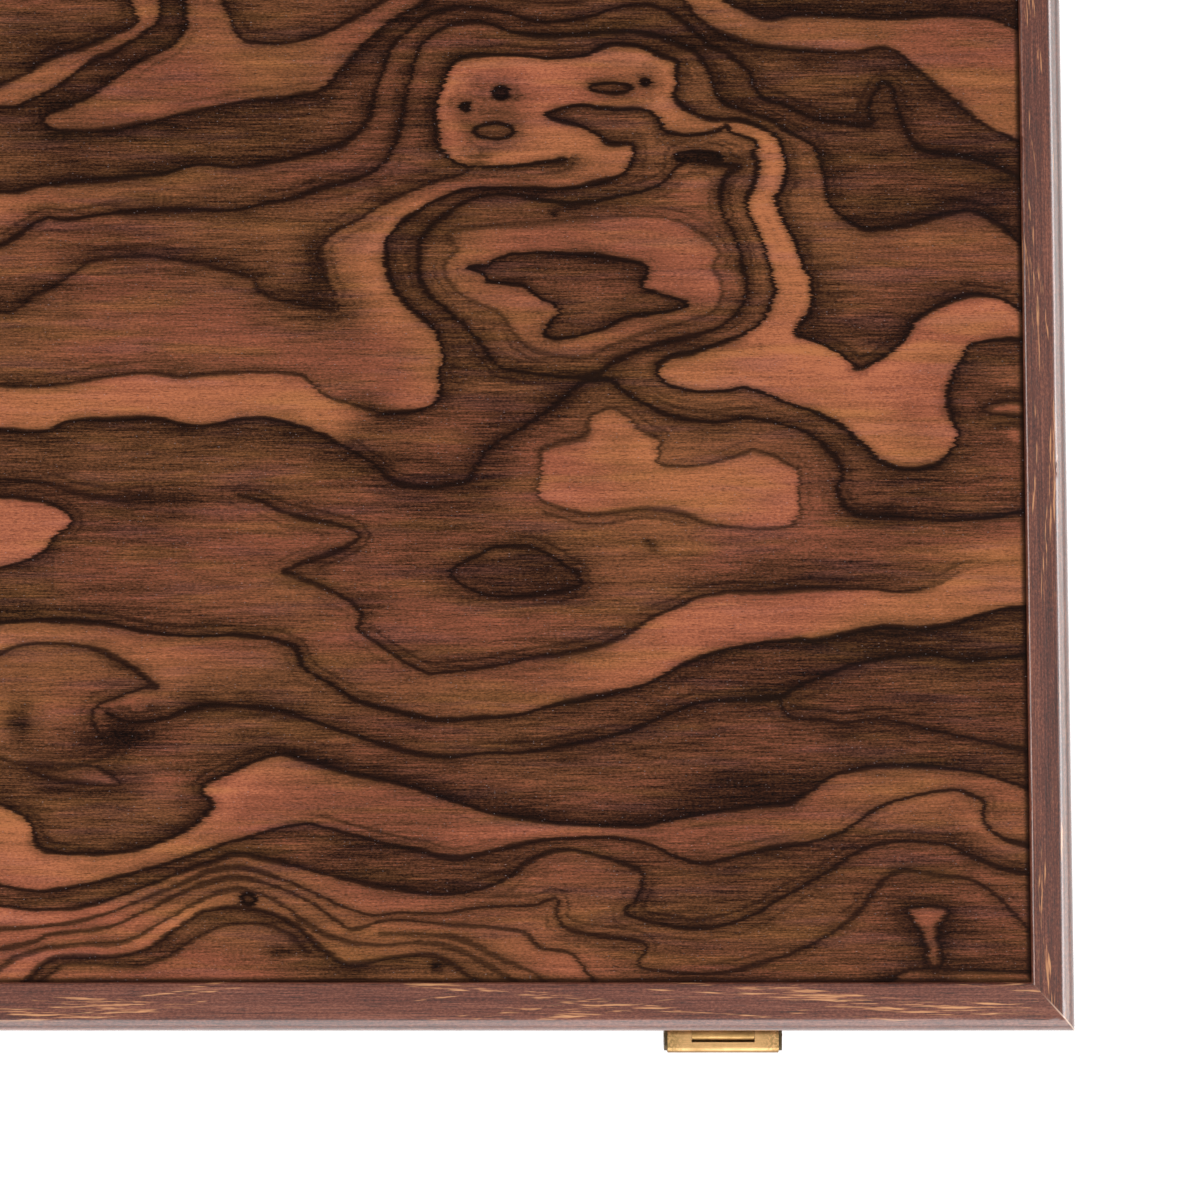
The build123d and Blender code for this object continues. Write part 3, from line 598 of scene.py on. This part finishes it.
def figure_values(places):
    """Work out the mesh attributes of the figure at places in the picture."""
    count = len(places)
    right_of = np.full(count, distance_cap)
    left_of = np.full(count, distance_cap)
    nearest = np.full(count, 1e9)
    other_left = np.zeros(count)
    other_right = np.zeros(count)
    strength = np.zeros(count)
    slant = np.zeros(count)
    tone_sum = np.zeros(count)
    weight_sum = np.zeros(count)
    all_shade = np.ones(count)
    darkest = np.ones(count)
    for line in veins.values():
        signed, index, tangent = nearest_on(line, places)
        distance = np.abs(signed)
        along_x = line["run"][index, 0]
        on_right = signed >= 0
        right_of = np.where(on_right, np.minimum(right_of, distance), right_of)
        left_of = np.where(on_right, left_of, np.minimum(left_of, distance))
        sides = ("left", "right", "left_dark", "right_dark")
        tones = {side: along(line[side], along_x) for side in sides}
        weight = 1 / (distance + weight_start) ** weight_power
        tone_sum += weight * np.where(on_right, tones["right"], tones["left"])
        weight_sum += weight
        dark = np.where(on_right, tones["right_dark"], tones["left_dark"])
        shade = 1 - dark_depth * dark * np.exp(-(distance / dark_fade) ** dark_power)
        all_shade *= shade
        darkest = np.minimum(darkest, shade)
        closer = distance < nearest
        nearest = np.where(closer, distance, nearest)
        at_left = tones["left"] * (1 - dark_depth * tones["left_dark"])
        at_right = tones["right"] * (1 - dark_depth * tones["right_dark"])
        other_left = np.where(closer, at_left, other_left)
        other_right = np.where(closer, at_right, other_right)
        strength = np.where(closer, along(line["strength"], along_x), strength)
        slant = np.where(closer, -tangent[index, 1], slant)
    tone = tone_sum / weight_sum
    for u, v, half_u, half_v, change in soft_spots:
        away = ((places[:, 0] - u) / half_u) ** 2 + ((places[:, 1] - v) / half_v) ** 2
        tone += change * np.exp(-away)
    # Shadows of crowded lines add up only in part
    shade = all_shade ** crowd_share * darkest ** (1 - crowd_share)
    tone = np.clip(tone * shade, lowest_tone, 1)
    # Beside a line, the far side's tone is that side's own
    share = right_of / (right_of + left_of)
    near_line = 1 - np.clip((np.minimum(share, 1 - share) - near_share) / near_fade, 0, 1)
    on_right = share < 0.5
    tone_right = np.where(on_right, tone, near_line * other_right + (1 - near_line) * tone)
    tone_left = np.where(on_right, near_line * other_left + (1 - near_line) * tone, tone)
    phase = 2 * math.pi * share
    return {"phase_cos": np.cos(phase), "phase_sin": np.sin(phase), "span": right_of + left_of,
            "tone_left": tone_left, "tone_right": tone_right, "strength": strength, "slant": slant}


# Where the picture's pixels lie on the veneer
veneer_drop = camera_place[2] - lid_veneer_height
tilt = math.radians(90 - camera_elevation)
middle = picture_size / 2


def to_picture(places):
    """Project places on the lid's veneer to the picture's pixels."""
    across = places[:, 0] - camera_place[0]
    up = places[:, 1] - camera_place[1]
    depth = veneer_drop * math.cos(tilt) + up * math.sin(tilt)
    height = up * math.cos(tilt) - veneer_drop * math.sin(tilt)
    right = focal_pixels * across / depth
    rise = focal_pixels * height / depth
    return np.column_stack([middle + right, middle - rise])


def to_veneer(pixels):
    """Give the places on the lid's veneer that the picture's pixels show."""
    right = (pixels[:, 0] - middle) / focal_pixels
    up = (middle - pixels[:, 1]) / focal_pixels
    fall = math.cos(tilt) - up * math.sin(tilt)
    scale = veneer_drop / fall
    forward = (math.sin(tilt) + up * math.cos(tilt)) * scale
    return np.column_stack([camera_place[0] + right * scale, camera_place[1] + forward])


# Left of the picture's edge the figure turns back on itself, as matched leaves do
fold_width = 60.0
drift = 70.0
drift_run = 900.0


def lift(u):
    """Give how far the turned figure has drifted at a place left of the picture."""
    away = np.clip(-u / drift_run, 0, 1)
    return drift * (3 * away ** 2 - 2 * away ** 3)


def folded(pixels):
    """Turn the part left of the picture back into it, with a drift."""
    u = pixels[:, 0]
    turned = np.where(u > 0, u, np.where(u > -fold_width, u + u ** 2 / fold_width, -(u + fold_width)))
    return np.column_stack([turned, pixels[:, 1] + lift(u)])


def unfolded(pixels):
    """Give the places left of the picture that show the same figure."""
    u = -pixels[:, 0] - fold_width
    return np.column_stack([u, pixels[:, 1] - lift(u)])


def open_points(start, end, step, step_down):
    """Give a grid of points from one place across the picture to another."""
    grid_u, grid_v = np.meshgrid(np.arange(start, end, step), np.arange(sheet_top, sheet_foot, step_down))
    return np.column_stack([grid_u.ravel(), grid_v.ravel()])


def veneer_places():
    """Choose the mesh's points: beside each line, an open grid, and the sheet's edge."""
    beside = []
    for line in veins.values():
        run = line["run"]
        tangent = unit(np.gradient(run, axis=0))
        normal = np.column_stack([-tangent[:, 1], tangent[:, 0]])
        beside += [run + normal * offset for offset in beside_offsets]
    beside = np.vstack(beside + [open_points(sheet_left, sheet_right, open_grid, open_grid)])
    mirrored_part = unfolded(beside[beside[:, 0] > 2][::2])
    between = open_points(-fold_width - 6, 0, 4.0, 5.0)
    places = to_veneer(np.vstack([beside[beside[:, 0] > -2], mirrored_part, between]))
    # Drop points that crowd each other or the edge
    margin = 0.0008
    keep = np.abs(places) < np.array([veneer_half_length, veneer_half_width]) - margin
    places = places[keep.all(axis=1)]
    cell = 0.00032
    _, first = np.unique(np.round(places / cell).astype(int), axis=0, return_index=True)
    places = places[np.sort(first)]
    edge_step = 0.003
    xs = np.linspace(-veneer_half_length, veneer_half_length, int(2 * veneer_half_length / edge_step))
    ys = np.linspace(-veneer_half_width, veneer_half_width, int(2 * veneer_half_width / edge_step))
    front = [(x, -veneer_half_width) for x in xs[:-1]]
    right = [(veneer_half_length, y) for y in ys[:-1]]
    back = [(x, veneer_half_width) for x in xs[:0:-1]]
    left = [(-veneer_half_length, y) for y in ys[:0:-1]]
    return places, np.array(front + right + back + left)


def veneer_sheet(name, material):
    """Make the lid's veneer as a closed sheet whose upper face carries the figure."""
    inner, edge = veneer_places()
    flat = [Vector(place) for place in np.vstack([edge, inner])]
    border = [(index, (index + 1) % len(edge)) for index in range(len(edge))]
    points, _, triangles, origins, _, _ = delaunay_2d_cdt(flat, border, [], 1, 1e-7)
    points = np.array([tuple(point) for point in points])
    values = figure_values(folded(to_picture(points)))
    top = np.column_stack([points, np.full(len(points), lid_veneer_height)])
    order = {corner: index for index, found in enumerate(origins) for corner in found}
    count = len(edge)
    rim = [order[corner] for corner in range(count)]
    below = top[rim] - (0, 0, veneer_thickness)
    base = len(top)
    faces = [list(triangle) for triangle in triangles]
    for corner in range(count):
        following = (corner + 1) % count
        faces.append([rim[corner], base + corner, base + following, rim[following]])
    faces.append([base + corner for corner in reversed(range(count))])
    piece = new_piece(name, np.vstack([top, below]), faces, material)
    for key, numbers in values.items():
        attribute = piece.data.attributes.new(key, "FLOAT", "POINT")
        attribute.data.foreach_set("value", np.append(numbers, numbers[rim]).astype(np.float32))
    return piece


# Materials

def figure_distance(nodes):
    """Give the distance from the figure's nearest line, with the line's left as negative."""
    fray_reach, waver_reach = 17.0, 2.4
    angle = nodes.math("ARCTAN2", nodes.value("phase_sin"), nodes.value("phase_cos"))
    away = nodes.times(nodes.math("DIVIDE", angle, 2 * math.pi), nodes.value("span"))
    # Fibres run along X, so the lines that cross them have a frayed edge
    fray = nodes.minus(nodes.noise((110, 1900, 1), 3, 0.6), 0.5)
    fray = nodes.times(nodes.times(fray, nodes.value("slant")), fray_reach)
    waver = nodes.minus(nodes.noise((260, 420, 1), 1), 0.5)
    return nodes.plus(nodes.plus(away, fray), nodes.times(waver, waver_reach))


def dark_lines(nodes, away, tone):
    """Give how strongly the figure's dark lines show at a place."""
    # A line swells and thins along its run
    thick = nodes.ramp(nodes.noise((45, 90, 1), 2), 0.36, 0.64, 1.55, 0.7)
    reach = nodes.times(nodes.size(away), thick)
    core = nodes.ramp(reach, 4.4, 0.8)
    skirt = nodes.ramp(reach, 11.0, 2.0, 0.0, 0.34)
    core = nodes.times(nodes.math("MAXIMUM", core, skirt), nodes.value("strength"))
    # Fainter lines run beside the main ones, and come and go
    gate = nodes.ramp(nodes.noise((22, 60, 1), 1), 0.42, 0.6)
    beside = nodes.ramp(nodes.size(nodes.plus(away, 9.5)), 2.6, 0.0)
    inner = nodes.ramp(nodes.size(nodes.minus(away, 11.0)), 2.2, 0.0)
    echo = nodes.times(nodes.plus(beside, nodes.times(inner, 0.6)), gate)
    echo = nodes.times(echo, nodes.ramp(tone, 0.8, 0.5, 0.0, 0.5))
    return nodes.math("MAXIMUM", core, echo)


def painted_rim_shade(nodes):
    """Give the painted shade at the foot of the recess, along the sheet's edge where it meets the rails."""
    place = nodes.place()
    from_side = nodes.minus(case_depth / 2 - front_rail_width, nodes.size(place[1]))
    from_end = nodes.minus(case_length / 2 - side_rail_width, nodes.size(place[0]))
    return nodes.ramp(nodes.math("MINIMUM", from_side, from_end), 0.0003, 0.0016, 0.35, 1.0)


def veneer_colour(nodes, tone):
    """Turn a tone into the veneer's hues, which drift in clouds drawn out along the fibres."""
    golden = nodes.colours(tone, [(0.0, "0b0504"), (0.2, "2a160d"), (0.36, "452a18"), (0.52, "603b25"),
                                  (0.68, "77492d"), (0.84, "8d5537"), (1.0, "a36340")])
    rosy = nodes.colours(tone, [(0.0, "0c0505"), (0.2, "2c160f"), (0.36, "49281c"), (0.52, "633828"),
                                (0.68, "7a4431"), (0.84, "90523b"), (1.0, "a66245")])
    hue = nodes.ramp(nodes.noise((16, 30, 1), 1), 0.38, 0.6)
    hue = nodes.times(hue, nodes.ramp(tone, 0.3, 0.7, 0.4, 1.0))
    colour = nodes.mix(hue, golden, rosy)
    # Here browner and more yellow, there cooler and greyer
    warm = nodes.ramp(nodes.noise((26, 190, 1), 2), 0.5, 0.68, 0.0, 0.5)
    brown = nodes.colours(tone, [(0.1, "1c1009"), (0.5, "5f3d20"), (0.9, "a0663c")])
    colour = nodes.mix(warm, colour, brown)
    cool = nodes.ramp(nodes.noise((34, 260, 1), 2), 0.5, 0.7, 0.0, 0.34)
    grey = nodes.colours(tone, [(0.1, "180d0f"), (0.5, "553331"), (0.9, "965b4c")])
    return nodes.mix(cool, colour, grey)


def veneer_material():
    """Boldly figured hardwood veneer, its figure read from the mesh's attributes."""
    material, nodes = new_material("figured_veneer")
    away = figure_distance(nodes)
    edge_reach = 1.3
    side = nodes.ramp(away, -edge_reach, edge_reach)
    tone = nodes.blend(side, nodes.value("tone_left"), nodes.value("tone_right"))
    lines = dark_lines(nodes, away, tone)
    fine = nodes.minus(nodes.noise((105, 2500, 1), 3, 0.7), 0.5)
    broad = nodes.minus(nodes.noise((17, 430, 1), 3, 0.6), 0.5)
    cloud = nodes.minus(nodes.noise((38, 95, 1), 2), 0.5)
    grit = nodes.minus(nodes.noise((1200, 2900, 1), 2, 0.7), 0.5)
    # Streaks show most in the soft shadows beside the lines
    fine_amount = nodes.ramp(nodes.size(nodes.minus(tone, 0.36)), 0.0, 0.4, 1.15, 0.6)
    for texture, amount in ((fine, fine_amount), (broad, 0.5), (cloud, 0.26), (grit, 0.85)):
        tone = nodes.plus(tone, nodes.times(texture, amount))
    tone = nodes.times(tone, nodes.minus(1.0, nodes.times(lines, 0.85)), clamp=True)
    # The sheet's edge beside the rails is darkened with painted shade
    colour = veneer_colour(nodes, nodes.times(tone, painted_rim_shade(nodes)))
    # Open pores: short dark dashes along the fibres, with a few pale specks
    pores = nodes.ramp(nodes.noise((420, 5200, 1), 0), 0.7, 0.78)
    colour = nodes.mix(nodes.times(pores, 0.55), colour, hex_colour("1c110e"))
    specks = nodes.ramp(nodes.noise((1500, 4600, 1), 0), 0.8, 0.84)
    colour = nodes.mix(nodes.times(specks, 0.4), colour, hex_colour("a89a9c"))
    height = nodes.minus(nodes.times(fine, 0.5), pores)
    nodes.finish(Base_Color=colour, Roughness=0.5, Specular_IOR_Level=0.03,
                 Normal=nodes.bump(height, 0.00004))
    return material


def mitre_line(nodes):
    """Give a pale line along the mitre where two rails meet, strongest towards the outer corner."""
    place = nodes.place()
    from_end = nodes.minus(case_length / 2, nodes.size(place[0]))
    from_side = nodes.minus(case_depth / 2, nodes.size(place[1]))
    skew = nodes.minus(nodes.times(from_end, front_rail_width / side_rail_width), from_side)
    line = nodes.ramp(nodes.size(skew), 0.00036, 0.00012)
    toward_corner = nodes.ramp(from_side, 0.0095, 0.004, 0.05, 0.7)
    return nodes.times(line, toward_corner)


def add_flecks(nodes, colour, scale, inward):
    """Lay tan flecks over a rail's colour, in chains a few degrees off the grain."""
    # The sheen of the outer round hides them
    off_round = nodes.ramp(inward, 0.0022, 0.0034, 0.15, 1.0)
    dash = nodes.noise(scale(70, 1800), 3, 0.62)
    dashes = nodes.ramp(dash, 0.5, 0.56)
    tan = nodes.colours(dash, [(0.5, "94593a"), (0.62, "c98f62")])
    for turn, start in ((5.0, 0.605), (-7.0, 0.62)):
        chain = nodes.ramp(nodes.noise(scale(20, 430), 2, 0.5, turn=turn), start, start + 0.04)
        fleck = nodes.times(nodes.times(chain, dashes), off_round)
        colour = nodes.mix(nodes.times(fleck, 0.85), colour, tan)
    return colour


def rail_material(name, runs_along_x, stops):
    """Dark reddish hardwood with tan flecks, its grain along the rail, under satin lacquer."""
    material, nodes = new_material(name)

    def scale(long, cross):
        return (long, cross, cross) if runs_along_x else (cross, long, cross)

    fine = nodes.noise(scale(45, 2600), 3, 0.65)
    broad = nodes.noise(scale(9, 420), 3, 0.6)
    grit = nodes.noise(scale(1100, 2600), 2, 0.7)
    grain = nodes.plus(nodes.times(fine, 0.5), nodes.times(broad, 0.4))
    grain = nodes.plus(grain, nodes.times(nodes.minus(grit, 0.3), 0.55))
    outer, axis = (case_depth / 2, 1) if runs_along_x else (case_length / 2, 0)
    inward = nodes.minus(outer, nodes.size(nodes.place()[axis]))
    colour = add_flecks(nodes, nodes.colours(grain, stops), scale, inward)
    pores = nodes.ramp(nodes.noise(scale(160, 4200), 1), 0.6, 0.72)
    colour = nodes.mix(nodes.times(pores, 0.75), colour, hex_colour("24110d"))
    colour = nodes.mix(mitre_line(nodes), colour, hex_colour("d2b09a"))
    height = nodes.minus(nodes.times(fine, 0.6), pores)
    nodes.finish(Base_Color=colour, Roughness=0.45, Specular_IOR_Level=0.25, Coat_Weight=1.0,
                 Coat_IOR=1.6, Coat_Roughness=0.14, Normal=nodes.bump(height, 0.00005))
    return material


def plywood_material():
    """Pale plywood with a fine grain along X."""
    material, nodes = new_material("plywood")
    grain = nodes.noise((30, 1400, 1400), 3, 0.6)
    colour = nodes.colours(grain, [(0.3, "b08a5e"), (0.7, "d2b184")])
    nodes.finish(Base_Color=colour, Roughness=0.7)
    return material


def plain_wood_material(name, stops, runs_along_x=True):
    """Straight-grained wood."""
    material, nodes = new_material(name)
    scale = (28, 1500, 1500) if runs_along_x else (1500, 28, 1500)
    grain = nodes.noise(scale, 3, 0.6)
    colour = nodes.colours(grain, stops)
    nodes.finish(Base_Color=colour, Roughness=0.5, Normal=nodes.bump(grain, 0.00004))
    return material


def suede_material():
    """Soft dark green suede with a short nap."""
    material, nodes = new_material("suede_lining")
    nap = nodes.noise((2600, 2600, 2600), 3, 0.7)
    patch = nodes.noise((18, 24, 20), 2)
    shade = nodes.plus(nodes.times(nap, 0.6), nodes.times(patch, 0.4))
    colour = nodes.colours(shade, [(0.3, "12301f"), (0.7, "20492f")])
    nodes.finish(Base_Color=colour, Roughness=0.95, Specular_IOR_Level=0.1, Sheen_Weight=0.2,
                 Sheen_Roughness=0.5, Normal=nodes.bump(nap, 0.00012))
    return material


def clasp_part_masks(nodes):
    """Give how far a place of a clasp is an ear, an end beside the window, and the front bend."""
    place = nodes.place()
    across = nodes.size(nodes.minus(nodes.size(place[0]), clasp_offset))
    ear = nodes.ramp(across, flap_half_width, flap_half_width + 0.0001)
    end = nodes.ramp(across, window_half_width, flap_half_width)
    bend = nodes.ramp(place[1], clasp_front + 0.0008, clasp_front + 0.0002)
    return ear, end, bend


def brass_material(name, dull, bright, rough, scratches=1.0, on_clasp=False):
    """Aged brass with uneven tarnish and fine drawn lines.

    A clasp also has speckled ends, and painted shade that darkens its front bend and makes its ears dark.
    """
    material, nodes = new_material(name)
    tarnish = nodes.noise((240, 240, 240), 4, 0.62)
    drawn = nodes.noise((90, 3800, 3800), 2, 0.6)
    shade = nodes.plus(nodes.times(tarnish, 0.75), nodes.times(drawn, 0.25 * scratches))
    colour = nodes.colours(shade, [(0.34, dull), (0.62, bright)])
    if on_clasp:
        ear, end, bend = clasp_part_masks(nodes)
        spots = nodes.ramp(nodes.noise((1500, 1500, 1500), 2, 0.6), 0.42, 0.56)
        colour = nodes.mix(nodes.times(nodes.times(end, spots), 0.6), colour, hex_colour("6b5a2c"))
        # Painted shade darkens the front bend
        colour = nodes.mix(nodes.times(bend, 0.85), colour, hex_colour("6a4c2a"))
        # Painted shade makes the ears, which lie lower than the flap, near black
        colour = nodes.mix(nodes.times(ear, 0.85), colour, hex_colour("1f1a12"))
    roughness = nodes.ramp(tarnish, 0.3, 0.7, rough + 0.14, rough)
    nodes.finish(Base_Color=colour, Metallic=0.6, Roughness=roughness,
                 Normal=nodes.bump(drawn, 0.00001 * scratches))
    return material


lengthways_wood = rail_material("rail_wood_lengthways", True, [
    (0.32, "2c140e"), (0.44, "452018"), (0.54, "5d3023"), (0.62, "6e3e2f"), (0.74, "84503f")])
crossways_wood = rail_material("rail_wood_crossways", False, [
    (0.34, "230f0b"), (0.44, "3a1a13"), (0.54, "50271c"), (0.62, "643526"), (0.74, "824c3a")])
ply = plywood_material()
spline_wood = plain_wood_material("spline_wood", [(0.3, "8a6a48"), (0.7, "a98660")])
divider_stops = [(0.3, "6b4330"), (0.7, "8c5c40")]
row_wood = plain_wood_material("row_divider_wood", divider_stops)
cross_wood = plain_wood_material("cross_divider_wood", divider_stops, False)
suede = suede_material()
# The plate's brass is a darker copy of the clasp's: painted shade, as the plate's ears lie lower than the
# flap
plate_brass = brass_material("plate_brass", "86683a", "c79c62", 0.34, on_clasp=True)
clasp_brass = brass_material("clasp_brass", "a48150", "dcac74", 0.34, on_clasp=True)
hinge_brass = brass_material("hinge_brass", "a58044", "dcb474", 0.28)
fastener_brass = brass_material("brass_fasteners", "9c7a42", "dab070", 0.3, 0.4)
figured_veneer = veneer_material()


# The first words that a node's name holds choose its material
materials = {
    "front_rail": lengthways_wood, "back_rail": lengthways_wood, "rail": crossways_wood,
    "veneer": figured_veneer, "panel": ply, "lining": suede, "splines": spline_wood,
    "row_divider": row_wood, "divider": cross_wood, "nails": fastener_brass,
    "screws": fastener_brass, "lid_plate": plate_brass, "clasp": clasp_brass, "hinge": hinge_brass}


# The brass has small rounded edges, and the dividers' edges are eased
edge_rounds = {"clasp": 0.00012, "hinge": 0.00015, "divider": 0.0003}

for name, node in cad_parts.items():
    node.data.materials.clear()
    node.data.materials.append(next(found for words, found in materials.items() if words in name))
    for word, width in edge_rounds.items():
        if word in name and not name.endswith(("nails", "screws", "pin")):
            bevel = node.modifiers.new("edges", "BEVEL")
            bevel.width = width
            bevel.segments = 2
            bevel.limit_method = "ANGLE"
            bevel.angle_limit = math.radians(40)

# Veneer faces: the underside has a leaf of the same figure, turned over about Y
lid_figure = veneer_sheet("lid_figured_veneer", figured_veneer)
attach(lid_figure, "lid")
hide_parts("lid_veneer")

base_figure = bpy.data.objects.new("base_figured_veneer", lid_figure.data.copy())
turned = [(-v.co.x, v.co.y, case_height - v.co.z) for v in base_figure.data.vertices]
base_figure.data.vertices.foreach_set("co", np.array(turned, np.float32).ravel())
base_figure.data.update()
scene.collection.objects.link(base_figure)
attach(base_figure, "base")
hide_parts("base_veneer")
